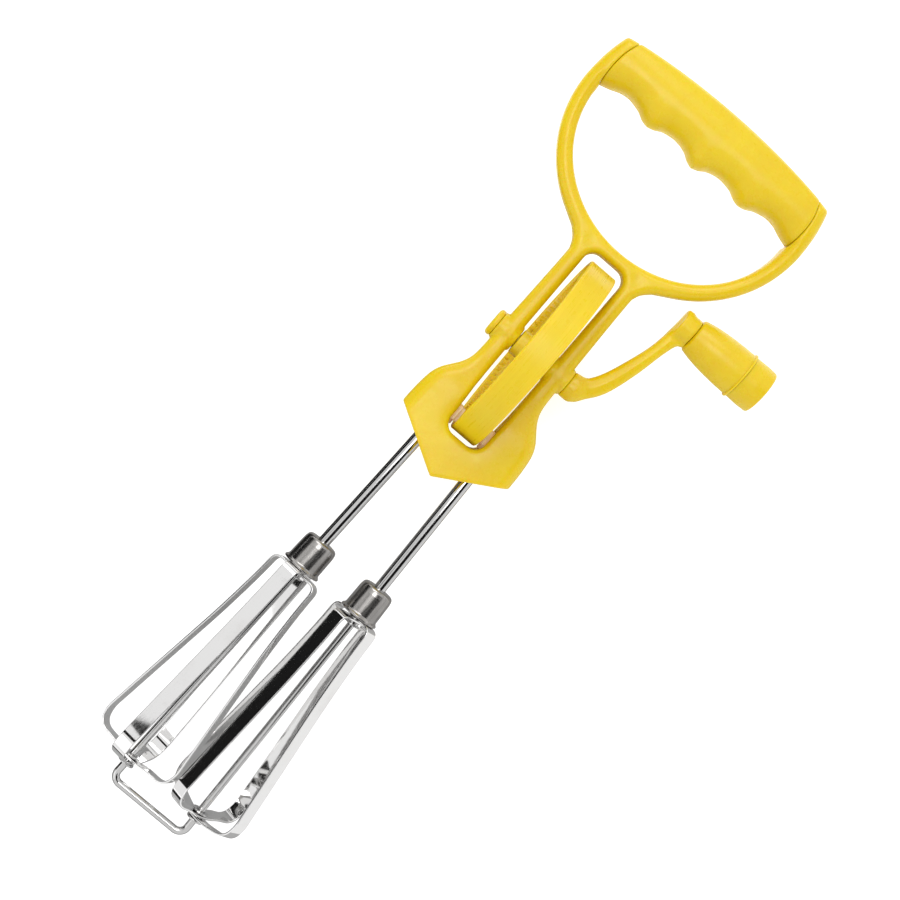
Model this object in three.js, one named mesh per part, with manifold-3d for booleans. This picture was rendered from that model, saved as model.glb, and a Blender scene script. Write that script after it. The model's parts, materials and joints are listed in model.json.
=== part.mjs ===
// A hand-cranked rotary egg beater, in millimetres.
//
// Every piece is made in the tool's own frame: the origin is on the crank's axle, +X points to the
// crank, +Y to the hand grip and +Z out of the front. The outer group then lays the tool down on its
// back as it rests on a table, on the rim of its drive wheel and on both beaters, with +Z up.
import * as THREE from "three";
import { mergeVertices } from "three/addons/utils/BufferGeometryUtils.js";
import Module from "manifold-3d";

const wasm = await Module();
wasm.setup();

const DEG = Math.PI / 180;

// ---- Driving dimensions -------------------------------------------------------------------------

const REST_PITCH = 6.42; // degrees: the grip end stands higher than the beaters
const REST_ROLL = 3.64; // degrees: the left side stands higher than the crank side

// Frame
const RING = { y: 84.5, inner: [42.8, 38.3], outerY: 85.5, outer: [48.8, 45.3] };
const LEG = { outer: 14.8, inner: 8.2, halfDepth: 5 };
const SLOT = { top: 41.2, bottom: -39.7, corner: 4 };
const HOUSING = { halfWidth: 24, cornerY: -41.5, tipY: -55.5, halfDepth: 10, wall: 2.2 };
const CHEEK_HALF_DEPTH = 8.6; // the ring's two ends, which hold the grip
const CROSSBAR = { bottom: 92, top: 100, halfDepth: 4.2 };
const AXLE_BORE = 3.3;

// Grip
const GRIP = { top: 108.4, crown: 232, halfDepth: 9.3, seam: 0.15, wall: 2.4 };

// Gears: two spur pinions run on face teeth on both sides of the drive wheel
const MODULE = 0.94;
const WHEEL_TEETH = 70;
const PINION_TEETH = 14;
const PITCH_RADIUS = (MODULE * WHEEL_TEETH) / 2;
const PINION_PITCH_RADIUS = (MODULE * PINION_TEETH) / 2;
const PITCH_PLANE = 4.4; // the face teeth's pitch plane, from the wheel's middle
const WHEEL = { radius: 38, rimInner: 36.2, halfWidth: 5.4, hub: 4.9, hubHalf: 7.1, web: 1.5 };
const FACE_TOOTH = { inner: 29.8, root: 3.4, tip: 5.2, flank: 20 * DEG, thickness: 1.16 };
const PINION = { tip: 7.35, root: 5.5, thickness: 1.16, tipThickness: 0.5, rootThickness: 1.75 };

// Crank and knob
const AXLE_RADIUS = 3.0;
const AXLE_FLAT = 2.2;
const THROW = 41.7; // from the axle to the knob's axis
const KNOB = { start: 38.7, capStart: 61.2, end: 71 };

// Beaters: the axes spread by SPLAY on each side and meet the wheel's pitch circle at BEATER_X
const BEATER_X = PITCH_PLANE + PINION_PITCH_RADIUS;
const SPLAY = 1.58 * DEG;
const WIRE_RADIUS = 1.4;
const TUBE = { inner: 1.65, outer: 2.25 };
const STRIP = { width: 5.8, thickness: 0.8, gap: 0.3 };
const BLADE = { top: -76.6, bottom: -167.1 };
const FERRULE = { top: -64.2, flangeY: -76.4, radius: 6.6, flange: 7.45, wall: 0.7 };
const WIRE_BAR = -175.4;
const LEFT_AZIMUTH = -18; // degrees from the front to the first blade, towards +X
const RIGHT_AZIMUTH = 50;

// ---- Materials ----------------------------------------------------------------------------------

const material = (color, roughness, metalness) =>
  new THREE.MeshStandardMaterial({ color, roughness, metalness });
const YELLOW = [0xf2c61c, 0.3, 0];
const NYLON = [0xefb878, 0.45, 0];
const STEEL = [0xd2d4d6, 0.12, 1];
const SATIN = [0xb0b2b5, 0.35, 1];

// ---- Solids -------------------------------------------------------------------------------------

// A closed three.js geometry as a solid that can be joined and cut.
function solid(geometry) {
  const bare = geometry.clone();
  bare.deleteAttribute("normal");
  bare.deleteAttribute("uv");
  const merged = mergeVertices(bare, 1e-4);
  return new wasm.Manifold(
    new wasm.Mesh({
      numProp: 3,
      vertProperties: new Float32Array(merged.attributes.position.array),
      triVerts: new Uint32Array(merged.index.array),
    }),
  );
}

function geometryOf(body) {
  const mesh = body.getMesh();
  const geometry = new THREE.BufferGeometry();
  geometry.setAttribute("position", new THREE.BufferAttribute(mesh.vertProperties, 3));
  geometry.setIndex(new THREE.BufferAttribute(mesh.triVerts, 1));
  geometry.computeVertexNormals();
  return geometry;
}

const join = (...bodies) => bodies.reduce((whole, body) => whole.add(body));
const cut = (body, ...tools) => tools.reduce((left, tool) => left.subtract(tool), body);

function box(x0, x1, y0, y1, z0, z1) {
  const geometry = new THREE.BoxGeometry(x1 - x0, y1 - y0, z1 - z0);
  return solid(geometry.translate((x0 + x1) / 2, (y0 + y1) / 2, (z0 + z1) / 2));
}

// An outline of [x, y] points extruded from z0 to z1, with its edges rounded by edge.
function plate(outline, z0, z1, edge = 0, holes = []) {
  const shape = new THREE.Shape(outline.map(([x, y]) => new THREE.Vector2(x, y)));
  shape.holes = holes.map((hole) => new THREE.Path(hole.map(([x, y]) => new THREE.Vector2(x, y))));
  const geometry = new THREE.ExtrudeGeometry(shape, {
    depth: z1 - z0 - 2 * edge,
    bevelEnabled: edge > 0,
    bevelThickness: edge,
    bevelSize: edge,
    bevelOffset: -edge,
    bevelSegments: 1,
    curveSegments: 1,
  });
  return geometry.translate(0, 0, z0 + edge);
}

// A solid along the X axis whose section is given as half depths at heights, [y, z].
function acrossX(halfDepths) {
  const outline = [...halfDepths.map(([y, z]) => [y, -z]), ...halfDepths.slice().reverse()];
  // The shape's x is the tool's y and its y is the tool's z.
  const turn = new THREE.Matrix4().makeBasis(
    new THREE.Vector3(0, 1, 0), new THREE.Vector3(0, 0, 1), new THREE.Vector3(1, 0, 0),
  );
  return solid(plate(outline, -60, 60).applyMatrix4(turn));
}

// A profile of [radius, height] points turned about the Y axis.
const turned = (profile, sides = 24) =>
  new THREE.LatheGeometry(profile.map(([r, y]) => new THREE.Vector2(r, y)), sides);

// The same about the X axis, with the profile's heights along X.
const turnedAboutX = (profile, sides = 24) => turned(profile, sides).rotateZ(-Math.PI / 2);

// A plain cylinder about the X axis at height y.
const rodX = (radius, x0, x1, y = 0, sides = 24) =>
  solid(
    turnedAboutX([[0, x0], [radius, x0], [radius, x1], [0, x1]], sides).translate(0, y, 0),
  );

// The right half of an outline, from its bottom centre to its top centre, with its mirror image.
const mirrored = (half) => [
  ...half,
  ...half
    .filter(([x]) => Math.abs(x) > 1e-6)
    .map(([x, y]) => [-x, y])
    .reverse(),
];

const ellipse = ([a, b], y, fromDeg, toDeg, steps) =>
  Array.from({ length: steps + 1 }, (_, i) => {
    const t = (fromDeg + ((toDeg - fromDeg) * i) / steps) * DEG;
    return [a * Math.cos(t), y + b * Math.sin(t)];
  });

// Points along a smooth curve through the given ones.
const smooth = (points, steps) =>
  new THREE.SplineCurve(points.map(([x, y]) => new THREE.Vector2(x, y)))
    .getPoints(steps)
    .map((p) => [p.x, p.y]);

// Where a beater's own frame lies: its Y axis is the beater's axis, and its origin is at the height
// of the wheel's pitch circle. side is 1 on the crank side and -1 on the other.
function beaterMatrix(side) {
  return new THREE.Matrix4()
    .makeTranslation(side * BEATER_X, -PITCH_RADIUS, 0)
    .multiply(new THREE.Matrix4().makeRotationZ(side * SPLAY));
}

// ---- Frame --------------------------------------------------------------------------------------

// The end of the grip, as a half width at a height: the frame's cheeks follow it outside the seam.
const GRIP_END = [[43.35, 85.7], [43.6, 89], [43.65, 92.3], [43.05, 98.3], [40.95, 104.8]];

function frameOutline() {
  return mirrored([
    [0, HOUSING.tipY],
    [HOUSING.halfWidth, HOUSING.cornerY],
    [23.6, -32], [22.9, -27.8], [21.4, -24], [19.3, -21.2], [16.9, -18], [15.5, -14.5], [15.0, -11],
    [LEG.outer, 0],
    [14.1, 34.5], [14.5, 37.5], [15.9, 40.3], [18.6, 43],
    ...ellipse(RING.outer, RING.outerY, -60, 0, 10),
    [48.6, 89.5], [48.1, 94.5], [47.1, 100.1], [46.3, 102.6], [45.0, 103.9],
    ...GRIP_END.map(([x, y]) => [x + GRIP.seam, y]).reverse(),
    ...ellipse(RING.inner, RING.y, 0, -90, 14),
  ]);
}

// The slot between the legs, with round corners.
function slotOutline() {
  const { top, bottom, corner } = SLOT;
  const inner = LEG.inner - corner;
  const arc = (y, from) =>
    ellipse([corner, corner], y, from, from + 90, 4).map(([x, h]) => [x + inner, h]);
  return mirrored([[0, bottom], ...arc(bottom + corner, -90), ...arc(top - corner, 0), [0, top]]);
}

// How deep the frame is: a half depth at each height.
const frameDepth = () =>
  acrossX([
    [-60, HOUSING.halfDepth], [-29, HOUSING.halfDepth], [-24, 9.3], [-18, 7.2], [-13, 5.6],
    [-8, LEG.halfDepth], [36, LEG.halfDepth], [46, 4.7], [64, 4.5], [72, 4.9], [80, 6],
    [87, 7.6], [93, CHEEK_HALF_DEPTH], [106, CHEEK_HALF_DEPTH],
  ]);

// What one beater needs inside the housing: the pinion's pocket, the tube's bore below and above it,
// and the blind bore that holds the guard wire's end.
function beaterPockets(side) {
  const tool = turned([
    [0, -30], [2.6, -30], [2.6, -4.7], [8, -4.7], [8, 4], [2.6, 4], [2.6, 13.2],
    [1.7, 13.2], [1.7, 19.5], [0, 19.5],
  ], 20);
  return solid(tool.applyMatrix4(beaterMatrix(side)));
}

function frame() {
  const z = HOUSING.halfDepth + 1;
  const skin = solid(plate(frameOutline(), -z, z, 0, [slotOutline().reverse()]));
  const shell = skin.intersect(frameDepth());
  const bar = box(-44.6, 44.6, CROSSBAR.bottom, CROSSBAR.top, -CROSSBAR.halfDepth, CROSSBAR.halfDepth);
  const inside = HOUSING.halfDepth - HOUSING.wall;
  const mouth = solid(plate(
    mirrored([[0, -70], [21.6, -70], [21.6, -39.6], [16, -42], [0, -44.6]]), -inside, inside,
  ));
  const bosses = [1, -1].flatMap((side) => {
    const span = (a, b) => [Math.min(side * a, side * b), Math.max(side * a, side * b)];
    return [rodX(5.2, ...span(14, 15.8)), rodX(5, ...span(7.5, 9))];
  });
  return cut(
    join(shell, bar, ...bosses),
    mouth, beaterPockets(1), beaterPockets(-1), rodX(AXLE_BORE, -20, 20),
  );
}

// ---- Grip ---------------------------------------------------------------------------------------

function gripOutline() {
  const scallops = smooth([
    [0, 85], [2.7, 86], [4.9, 87.4], [7.6, 88.35], [11, 88.75], [15.4, 88], [18.2, 86.6],
    [20.9, 85.85], [23.7, 86.4], [26.9, 88], [31.6, 89.1], [35.4, 88.6], [38.9, 87.2], [43.2, 85.9],
  ], 32);
  const crown = [34, 27, 20, 13, 6.5].map((x) => [x, GRIP.top - (x * x) / (2 * GRIP.crown)]);
  return mirrored([
    ...scallops,
    ...GRIP_END.slice(1).map(([x, y]) => [x - GRIP.seam, y]),
    ...crown,
    [0, GRIP.top],
  ]);
}

// Half of the grip: a shell over the crossbar, in front for side 1 and behind for side -1.
function gripHalf(side) {
  const section = acrossX([
    [84, 4.6], [85.3, 6.4], [88, 8.3], [91.5, GRIP.halfDepth], [101.5, GRIP.halfDepth],
    [105, 8.3], [107.3, 6.2], [GRIP.top + 0.2, 2.6],
  ]);
  const whole = solid(plate(gripOutline(), -20, 20)).intersect(section);
  const keep = side > 0 ? [GRIP.seam, 20] : [-20, -GRIP.seam];
  const hollow = GRIP.halfDepth - GRIP.wall;
  const gap = 0.3;
  return cut(
    whole.intersect(box(-60, 60, 70, 120, ...keep)),
    box(-39, 39, CROSSBAR.bottom - gap, 104, -hollow, hollow),
    box(-60, 60, CROSSBAR.bottom - gap, CROSSBAR.top + gap, -CROSSBAR.halfDepth - gap,
      CROSSBAR.halfDepth + gap),
  );
}

// ---- Drive wheel, crank and knob ----------------------------------------------------------------

// The hole or the axle that passes the drive: a circle with a flat.
const axleSection = (radius, flat, x0, x1) =>
  rodX(radius, x0, x1).intersect(box(x0 - 1, x1 + 1, -10, flat, -10, 10));

function driveWheel() {
  const { radius, rimInner, halfWidth, hub, hubHalf, web } = WHEEL;
  const { inner, root, tip, flank, thickness } = FACE_TOOTH;
  const half = [
    [hub, hubHalf], [hub + 0.5, web], [inner, web], [inner, root],
    [rimInner, root], [rimInner, halfWidth], [radius - 0.5, halfWidth], [radius, halfWidth - 0.5],
  ];
  const section = [
    [0, -hubHalf], ...half.map(([r, x]) => [r, -x]), ...half.slice().reverse(), [0, hubHalf],
  ];
  let wheel = solid(turnedAboutX(section, 60));
  // One face tooth: a trapezoid across the wheel, as long as the toothed ring is wide.
  const at = (x) => thickness / 2 - (x - PITCH_PLANE) * Math.tan(flank);
  const base = root - 0.3;
  const toothSection = [[base, -at(root)], [tip, -at(tip)], [tip, at(tip)], [base, at(root)]];
  const tooth = plate(toothSection, inner + 0.2, rimInner + 0.2);
  // The shape lies in the X-Z plane and its length runs down along -Y.
  tooth.applyMatrix4(
    new THREE.Matrix4().makeBasis(
      new THREE.Vector3(1, 0, 0), new THREE.Vector3(0, 0, 1), new THREE.Vector3(0, -1, 0),
    ),
  );
  for (let i = 0; i < WHEEL_TEETH; i++) {
    const angle = ((i + 0.5) * 2 * Math.PI) / WHEEL_TEETH;
    const right = tooth.clone().rotateX(angle);
    const left = tooth.clone().rotateY(Math.PI).rotateX(angle);
    wheel = join(wheel, solid(right), solid(left));
  }
  return cut(wheel, axleSection(AXLE_RADIUS + 0.3, AXLE_FLAT + 0.3, -10, 10));
}

function crankArm() {
  // The arm's two edges in the X-Y plane, from the hub to the boss under the knob.
  const innerEdge = smooth([
    [16.5, 5.1], [20, 5.7], [23.4, 10.6], [26.8, 19], [30.1, 29.5], [31.7, 40.5], [32.3, 46.8],
  ], 18);
  const outerEdge = smooth([
    [38.3, 36.4], [36.4, 34.8], [34.6, 29.2], [32, 18], [28.7, 7.6], [25.3, 1.6], [20.6, -3.6],
    [16.5, -5.1],
  ], 18);
  const arm = solid(plate([...innerEdge, [34, 47], [34, 37], ...outerEdge], -3.1, 3.1));
  const hub = solid(turnedAboutX([[0, 16.2], [5.1, 16.2], [5.1, 20], [3.5, 23], [0, 24]], 24));
  const boss = rodX(5.5, 32.4, 38.3, THROW, 24);
  const axle = axleSection(AXLE_RADIUS, AXLE_FLAT, -15.9, 17);
  const spigot = rodX(1.7, -17.4, -15.5, 0, 20);
  return cut(join(arm, hub, boss, axle, spigot), rodX(2.3, 33.6, 39, THROW, 24));
}

const hubCap = () =>
  cut(
    solid(turnedAboutX([[0, -18.2], [4.4, -18.2], [5.1, -17.6], [5.1, -16.3], [0, -16.3]], 20)),
    rodX(2, -17.7, -15, 0, 20),
  );

const knobBody = () =>
  turnedAboutX([
    [2.3, 38.7], [5.9, 38.7], [6.4, 39.2], [7.15, 43.6], [7.75, 49], [8.1, 55], [8.2, 60],
    [8.9, 60], [8.9, 60.9], [5.3, 60.9], [5.3, 46], [2.3, 46], [2.3, 38.7],
  ], 24).translate(0, THROW, 0);

const knobCap = () =>
  turnedAboutX([
    [0, 55.5], [3.4, 55.5], [3.4, 56], [4.9, 56], [4.9, 61.2], [8.2, 61.2], [8.25, 66], [8.1, 69.4],
    [7.3, 70.6], [5, 70.95], [0, KNOB.end],
  ], 24).translate(0, THROW, 0);

const knobPin = () =>
  turnedAboutX([
    [0, 34], [2, 34], [2, 46.4], [4.2, 46.4], [4.2, 47.6], [3.2, 48.6], [0, 48.9],
  ], 16).translate(0, THROW, 0);

// ---- Guard wire ---------------------------------------------------------------------------------

// A path through given points, one step for each, for an extruded round section.
class PointPath extends THREE.Curve {
  constructor(points) {
    super();
    this.points = points;
  }
  getUtoTmapping(u) {
    return u;
  }
  getPoint(t, target = new THREE.Vector3()) {
    const last = this.points.length - 1;
    const place = THREE.MathUtils.clamp(t, 0, 1) * last;
    const i = Math.min(Math.floor(place), last - 1);
    return target.lerpVectors(this.points[i], this.points[i + 1], place - i);
  }
}

function guardWire() {
  const bend = 3.2;
  const corner = new THREE.Vector3(0, WIRE_BAR, 0).applyMatrix4(beaterMatrix(1));
  const legTop = new THREE.Vector3(0, 18.8, 0).applyMatrix4(beaterMatrix(1));
  const up = legTop.clone().sub(corner).normalize();
  const half = [legTop];
  const before = corner.clone().addScaledVector(up, bend);
  const after = corner.clone().add(new THREE.Vector3(-bend, 0, 0));
  const arc = new THREE.QuadraticBezierCurve3(before, corner, after);
  half.push(before.clone().addScaledVector(up, 2), ...arc.getPoints(5));
  const flip = ({ x, y, z }) => new THREE.Vector3(-x, y, z);
  const points = [...half, ...half.map(flip).reverse()];
  const section = new THREE.Shape(
    Array.from({ length: 12 }, (_, i) => {
      const angle = (i * Math.PI) / 6;
      return new THREE.Vector2(WIRE_RADIUS * Math.cos(angle), WIRE_RADIUS * Math.sin(angle));
    }),
  );
  return new THREE.ExtrudeGeometry(section, {
    steps: points.length - 1,
    extrudePath: new PointPath(points),
    bevelEnabled: false,
  });
}

// ---- Beaters: every geometry is about the Y axis of the beater's own frame ----------------------

// A spur pinion with a tooth on +X and -X, and a hub above and below its teeth.
function pinion() {
  const { tip, root, thickness, tipThickness, rootThickness } = PINION;
  const star = [];
  for (let i = 0; i < PINION_TEETH; i++) {
    const angle = (i * 2 * Math.PI) / PINION_TEETH;
    const at = (r, width) => {
      const a = angle + Math.asin(width / 2 / r);
      return [r * Math.cos(a), r * Math.sin(a)];
    };
    star.push(
      at(root, -rootThickness), at(PINION_PITCH_RADIUS, -thickness), at(tip, -tipThickness),
      at(tip, tipThickness), at(PINION_PITCH_RADIUS, thickness), at(root, rootThickness),
    );
  }
  const teeth = solid(plate(star, -2.6, 3).rotateX(-Math.PI / 2));
  const hub = solid(turned([[0, -4.3], [5, -4.3], [5, 3.6], [0, 3.6]], 20));
  const bore = solid(turned([[0, -10], [2.5, -10], [2.5, 20], [0, 20]], 20));
  return cut(join(teeth, hub), bore);
}

const tube = () =>
  turned([
    [TUBE.inner, 12.4], [TUBE.inner, -80.2], [3.1, -80.2], [3.1, -79.6], [TUBE.outer, -79.6],
    [TUBE.outer, 12.4], [TUBE.inner, 12.4],
  ], 20);

function ferrule() {
  const { top, flangeY, radius, flange, wall } = FERRULE;
  return turned([
    [2.6, top - wall], [radius - 2 * wall, top - 1.6], [radius - wall, top - 3], [radius - wall, flangeY],
    [flange, flangeY], [flange, flangeY + wall], [radius, flangeY + 1.4], [radius - 0.3, top - 2.2],
    [radius - 1.3, top - 0.8], [2.6, top], [2.6, top - wall],
  ], 20);
}

// A strip bent into a closed loop in the X-Y plane, inset at both ends, with two holes on the axis.
function bladeLoop(inset) {
  const top = BLADE.top - inset;
  const bottom = BLADE.bottom + inset;
  const half = [
    [0, bottom], [3.6, bottom],
    ...smooth([[3.6, bottom], [8.5, bottom + 1], [13.9, -164.6], [16.9, -162.2], [17.9, -157.6]], 10),
    [17.5, -154], [16.35, -144], [14.9, -132], [13.4, -119.5], [11.9, -106.5], [10.7, -92.5],
    [10.15, -83],
    ...smooth([[10.1, top - 3.2], [9.5, top - 1.1], [7.4, top], [6.8, top]], 5),
    [0, top],
  ].filter(([x, y], i, all) => !i || Math.hypot(x - all[i - 1][0], y - all[i - 1][1]) > 0.05);
  const outer = mirrored(half);
  const inner = outer.map(([x, y], i) => {
    const [ax, ay] = outer[(i + outer.length - 1) % outer.length];
    const [bx, by] = outer[(i + 1) % outer.length];
    const before = new THREE.Vector2(x - ax, y - ay).normalize();
    const after = new THREE.Vector2(bx - x, by - y).normalize();
    const way = before.clone().add(after).normalize();
    const reach = STRIP.thickness / Math.max(0.5, way.dot(before));
    return [x - way.y * reach, y + way.x * reach];
  });
  const width = STRIP.width / 2;
  const strip = solid(plate(outer, -width, width, 0, [inner.reverse()]));
  const hole = (y) =>
    solid(turned([[0, y - 4], [2.6, y - 4], [2.6, y + 4], [0, y + 4]], 20));
  return cut(strip, hole(top), hole(bottom));
}

const eyelet = () =>
  turned([
    [1.65, -168.3], [3.2, -168.3], [3.2, -167.5], [2.3, -167.5], [2.3, -164.9], [3.2, -164.9],
    [3.2, -164.2], [1.65, -164.2], [1.65, -168.3],
  ], 20);

// ---- Assembly -----------------------------------------------------------------------------------

function node(parent, name, shape, look) {
  const geometry = shape.isBufferGeometry ? shape : geometryOf(shape);
  const mesh = new THREE.Mesh(geometry, material(...look));
  mesh.name = name;
  parent.add(mesh);
  return mesh;
}

function beater(name, side, azimuth) {
  const group = new THREE.Group();
  group.applyMatrix4(beaterMatrix(side));
  node(group, `${name}_pinion`, pinion(), NYLON);
  node(group, `${name}_tube`, tube(), STEEL);
  node(group, `${name}_ferrule`, ferrule(), SATIN);
  const inset = STRIP.thickness + STRIP.gap;
  node(group, `${name}_blade_a`, bladeLoop(0), STEEL).rotation.y = (azimuth - 90) * DEG;
  node(group, `${name}_blade_b`, bladeLoop(inset), STEEL).rotation.y = azimuth * DEG;
  node(group, `${name}_eyelet`, eyelet(), STEEL);
  return group;
}

const tool = new THREE.Group();
node(tool, "frame", frame(), YELLOW);
node(tool, "grip_front", gripHalf(1), YELLOW);
node(tool, "grip_back", gripHalf(-1), YELLOW);
node(tool, "drive_wheel", driveWheel(), YELLOW);
node(tool, "crank_arm", crankArm(), YELLOW);
node(tool, "hub_cap", hubCap(), YELLOW);
node(tool, "knob", knobBody(), YELLOW);
node(tool, "knob_cap", knobCap(), YELLOW);
node(tool, "knob_pin", knobPin(), SATIN);
node(tool, "guard_wire", guardWire(), STEEL);
tool.add(beater("left", -1, LEFT_AZIMUTH), beater("right", 1, RIGHT_AZIMUTH));

// Lay the tool down: pitch about its X axis, then roll about the table's Y axis, and set it on the
// table, centred over the origin.
const pose = new THREE.Matrix4()
  .makeRotationY(REST_ROLL * DEG)
  .multiply(new THREE.Matrix4().makeRotationX(REST_PITCH * DEG));
tool.applyMatrix4(pose);
const group = new THREE.Group();
group.add(tool);
const bounds = new THREE.Box3().setFromObject(group, true);
const middle = bounds.getCenter(new THREE.Vector3());
tool.position.sub(new THREE.Vector3(middle.x, middle.y, bounds.min.z));

export default group;
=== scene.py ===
"""A hand-cranked egg beater: the fine surfaces, materials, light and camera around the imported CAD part.

Sizes are in millimetres in the tool's own frame: the origin is on the crank's axle, +X points to the
crank, +Y to the hand grip and +Z out of the front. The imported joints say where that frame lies.
"""

import json
import math

import bmesh
import bpy
import numpy as np
from mathutils import Matrix, Vector


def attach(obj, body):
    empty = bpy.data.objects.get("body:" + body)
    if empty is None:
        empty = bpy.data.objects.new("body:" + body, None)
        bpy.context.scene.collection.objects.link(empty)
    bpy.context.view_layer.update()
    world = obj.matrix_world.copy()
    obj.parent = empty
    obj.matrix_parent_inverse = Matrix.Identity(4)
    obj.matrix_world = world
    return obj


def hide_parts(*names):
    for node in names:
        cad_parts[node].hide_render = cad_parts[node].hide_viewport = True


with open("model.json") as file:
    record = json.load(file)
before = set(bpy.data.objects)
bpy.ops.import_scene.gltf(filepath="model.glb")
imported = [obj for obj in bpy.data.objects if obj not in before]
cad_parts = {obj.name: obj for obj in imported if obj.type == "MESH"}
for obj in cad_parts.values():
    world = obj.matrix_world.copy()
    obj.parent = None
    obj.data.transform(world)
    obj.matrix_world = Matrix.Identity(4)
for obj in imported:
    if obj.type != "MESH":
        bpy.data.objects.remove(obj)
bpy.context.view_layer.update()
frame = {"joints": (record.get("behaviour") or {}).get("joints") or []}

MM = 0.001

# ---- Driving dimensions --------------------------------------------------------------------------

# Frame
RING = {"y": 84.5, "inner": (42.8, 38.3), "outer_y": 85.5, "outer": (48.8, 45.3)}  # two ellipses
LEG_INNER = 8.2  # from the middle to the legs
SLOT = {"top": 41.2, "bottom": -39.4, "corner": 4.4}
HOUSING = {"half_width": 24.0, "corner_y": -41.5, "tip_y": -55.5, "half_depth": 10.0, "wall": 2.2}
CROSSBAR = {"reach": 44.6, "bottom": 92.0, "top": 100.0, "half_depth": 4.2}
AXLE_BORE = 3.3
AXLE_BOSSES = [(5.2, 12.0, 16.0), (5.0, 7.5, 12.0)]  # radius, and where each starts and ends along X
BEATER_BORES = [
    (2.6, -30.0, -4.5), (8.0, -4.7, 4.0), (2.6, 3.8, 13.2), (1.7, 13.0, 19.5),
]  # radius, and where each starts and ends along the beater's axis
POCKET_HALF_DEPTH = 7.6
FRAME_DEPTH = [
    (-60, 10), (-29, 10), (-24, 9.3), (-18, 7.2), (-13, 5.6), (-8, 5), (36, 5), (46, 4.7), (64, 4.5),
    (72, 4.9), (80, 6), (87, 7.6), (93, 8.6), (108, 8.6),
]  # a half depth at each height
FRAME_EDGE = [
    (-60, 4.6), (-26, 4.6), (-14, 2.9), (36, 2.7), (46, 2.9), (72, 2.8), (84, 3.2), (93, 3.8),
    (108, 3.8),
]  # how round its outer edges are at each height
SLOT_EDGE = [(-60, 1.7), (-22, 1.7), (-8, 2.3), (60, 2.3)]  # and the slot's edges
SINKS = [(-10.5, 43.1), (10.6, 42.4)]  # shallow dimples where the legs meet the ring

# Grip
GRIP = {"bottom": 85.6, "top": 108.35, "crown": 232.0, "hollow": 5.4, "edge": 2.0}
SEAM = {"half_gap": 0.04, "edge": 0.6}  # between the grip and the frame, and between its halves
GRIP_END = [
    (84.0, 43.2), (85.7, 43.35), (89, 43.6), (92.3, 43.65), (98.3, 43.05), (104.8, 40.95), (112, 38.2),
]  # how far from the middle its end is at each height
GRIP_DEPTH = [
    (84, 0.3), (86.2, 0.8), (87, 2.4), (87.7, 3.9), (88.6, 5.3), (90, 6.8), (92, 8.1), (94, 8.9),
    (96, 9.35), (98.5, 9.4), (101, 9.0), (103.5, 8.2), (106, 6.9), (108, 5.4), (112, 2),
]  # a half depth at each height, where the scallops' edge is at SCALLOP_LEVEL
SCALLOP_LEVEL = 87.0
SCALLOPS = [
    (0, 85.0), (2.7, 86.0), (4.9, 87.4), (7.6, 88.35), (11, 88.75), (15.4, 88.0), (18.2, 86.6),
    (20.9, 85.85), (23.7, 86.4), (26.9, 88.0), (31.6, 89.1), (35.4, 88.6), (38.9, 87.2), (43.3, 85.9),
    (50, 84.2),
]  # the grip's lower edge from its middle outwards

# Gears
MODULE = 0.94
WHEEL_TEETH = 70
WHEEL_RADIUS = 37.98
PINION_TEETH = 14
PITCH_RADIUS = MODULE * WHEEL_TEETH / 2
PINION_PITCH_RADIUS = MODULE * PINION_TEETH / 2
PITCH_PLANE = 4.4  # from the wheel's middle to where its teeth mesh
FLANK = math.radians(20)
TOOTH_THICKNESS = 1.16  # on the pitch line, with some play

# Crank and knob
AXLE_RADIUS = 3.0
AXLE_FLAT = 2.2  # from the axle's middle to the flat that drives the wheel
THROW = 41.7  # from the axle to the knob's axis
KNOB_PLACE = Matrix.Translation((0, THROW, 0))
CRANK_HALF_DEPTH = 3.1
CRANK_FACE = 16.06  # where the crank's hub and the hub cap start, just clear of the frame

# Beaters, with heights measured along their axes from where the pinions mesh
BEATER_X = PITCH_PLANE + PINION_PITCH_RADIUS
WIRE_RADIUS = 1.4
WIRE_BAR = -175.35
WIRE_BEND = 3.3
STRIP = {"width": 5.8, "thickness": 0.8, "gap": 0.3, "edge": 0.22}
BLADE = {"top": -76.6, "bottom": -167.1}
AZIMUTHS = {"left": -18, "right": 50}  # degrees from the front to the first blade, towards +X

# ---- The tool's frame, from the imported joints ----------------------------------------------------

JOINTS = {joint["name"]: joint for joint in frame["joints"]}


def joint_axis(name):
    return Vector(JOINTS[name]["axis"]).normalized()


TOOL_X = joint_axis("crank_spin")
TOOL_Y = (joint_axis("left_beater_spin") + joint_axis("right_beater_spin")).normalized()
TOOL_Z = TOOL_X.cross(TOOL_Y)
TOOL_TURN = Matrix((TOOL_X, TOOL_Y, TOOL_Z)).transposed()
TOOL = Matrix.Translation(Vector(JOINTS["crank_spin"]["pos_m"])) @ TOOL_TURN.to_4x4()
SPLAY = TOOL_Y.angle(joint_axis("right_beater_spin"))


def beater_matrix(side):
    """A beater's frame in millimetres, its Y axis on the beater's. side is 1 on the crank side."""
    return Matrix.Translation((side * BEATER_X, -PITCH_RADIUS, 0)) @ Matrix.Rotation(side * SPLAY, 4, "Z")


# ---- Outlines ------------------------------------------------------------------------------------


def unit(v):
    return v / np.linalg.norm(v)


def smooth(points, steps=8):
    """Points along a smooth curve through the given ones."""
    p = np.array(points, float)
    p = np.vstack([2 * p[0] - p[1], p, 2 * p[-1] - p[-2]])
    t = np.arange(steps)[:, None] / steps
    curve = []
    for a, b, c, d in zip(p, p[1:], p[2:], p[3:]):
        square, cube = 2 * a - 5 * b + 4 * c - d, 3 * b - a - 3 * c + d
        curve.append(0.5 * (2 * b + (c - a) * t + square * t**2 + cube * t**3))
    return [tuple(q) for q in np.vstack([*curve, p[-2:-1]])]


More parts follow.
